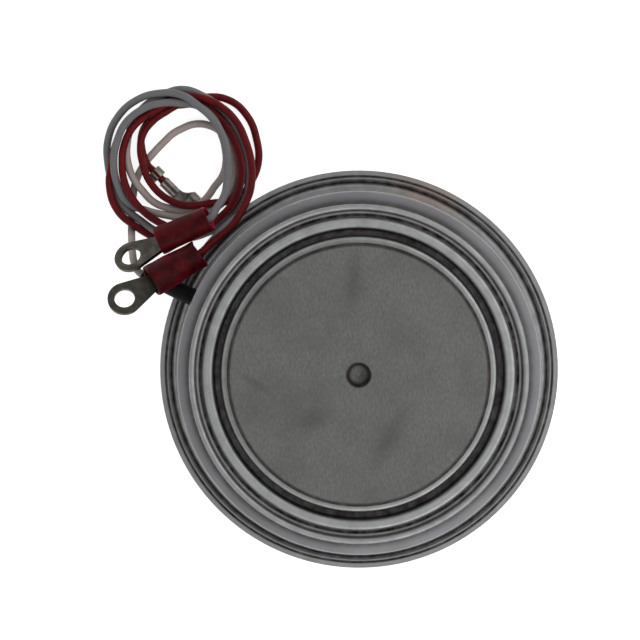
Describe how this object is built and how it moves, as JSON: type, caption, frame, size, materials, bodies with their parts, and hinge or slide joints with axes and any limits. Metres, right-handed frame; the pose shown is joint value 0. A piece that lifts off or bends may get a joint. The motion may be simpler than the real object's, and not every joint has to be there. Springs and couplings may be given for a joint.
{
  "type": "disc thyristor",
  "caption": "Flat round power thyristor capsule: metal pole faces, a ribbed glazed ceramic wall with a welded rim, and coiled gate and cathode leads with crimped terminals.",
  "frame": {"origin": "centre of the lower (anode) pole face, on the surface that the capsule stands on", "axes": "+Z along the capsule's axis to the cathode pole face; the gate terminal leaves at 156 degrees from +X"},
  "size_m": [0.083, 0.0882, 0.027],
  "materials": {
    "nickel_plated_copper": "satin",
    "nickel_plated_sheet": "satin",
    "glazed_alumina": "gloss",
    "molybdenum": "satin",
    "silicon": "gloss",
    "white_ptfe": "matte",
    "plated_brass": "satin",
    "spring_steel": "satin",
    "black_sleeving": "satin",
    "grey_insulation": "satin",
    "red_insulation": "satin",
    "tinned_copper": "satin",
    "red_vinyl": "gloss",
    "tinned_brass": "satin"
  },
  "bodies": {
    "root": {"cathode_pole": "nickel_plated_copper", "anode_pole": "nickel_plated_copper", "cathode_flange": "nickel_plated_sheet", "anode_flange": "nickel_plated_sheet", "weld_ring": "nickel_plated_sheet", "gate_tube": "nickel_plated_sheet", "ceramic_ring": "glazed_alumina", "anode_molybdenum_disc": "molybdenum", "cathode_molybdenum_disc": "molybdenum", "silicon_wafer": "silicon", "locating_ring": "white_ptfe", "gate_insulator": "white_ptfe", "gate_inner_lead": "white_ptfe", "gate_contact_pin": "plated_brass", "gate_pin": "plated_brass", "gate_pin_socket": "plated_brass", "gate_spring": "spring_steel", "gate_sleeve": "black_sleeving", "gate_lead": "grey_insulation", "gate_lead_coil": "grey_insulation", "gate_lead_tail": "grey_insulation", "cathode_lead": "red_insulation", "cathode_lead_coil": "red_insulation", "cathode_lead_tail": "red_insulation", "gate_ring_terminal": "tinned_copper", "cathode_ring_terminal": "tinned_copper", "gate_terminal_sleeve": "red_vinyl", "cathode_terminal_sleeve": "red_vinyl", "cathode_receptacle": "tinned_brass"}
  },
  "joints": []
}
